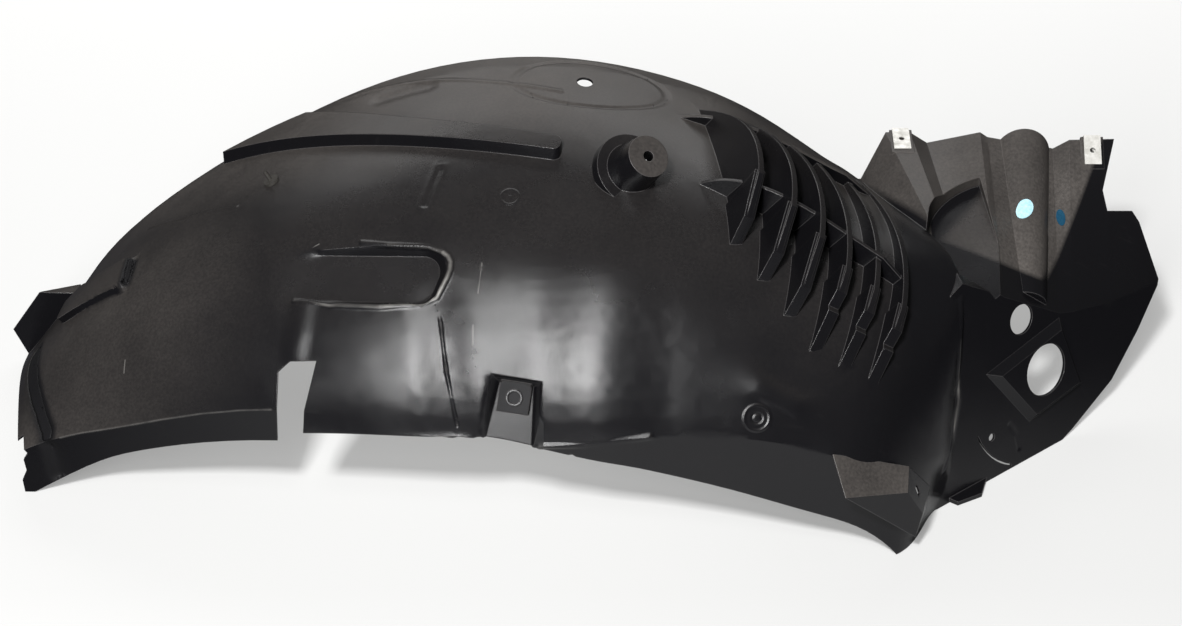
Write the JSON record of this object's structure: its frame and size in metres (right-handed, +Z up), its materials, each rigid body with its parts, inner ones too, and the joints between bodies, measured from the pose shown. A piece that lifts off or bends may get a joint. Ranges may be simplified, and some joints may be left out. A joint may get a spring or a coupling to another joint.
{
  "type": "wheel arch liner",
  "caption": "Moulded black plastic wheel arch liner with a domed arch, ribbed fins, a folded front block and metal clips.",
  "frame": {"origin": "the middle of the footprint, on the floor", "axes": "+X along the length toward the front block, +Y away from the near edge, +Z up"},
  "size_m": [1.0414, 0.3662, 0.3114],
  "materials": {
    "liner_plastic": "satin, dusty",
    "clip_steel": "plated",
    "pin_plastic": "worn, broken off",
    "label_film": "matte film"
  },
  "bodies": {
    "root": {"liner": "liner_plastic", "spring_nuts": "clip_steel", "push_pin": "pin_plastic", "labels": "label_film"}
  },
  "joints": []
}
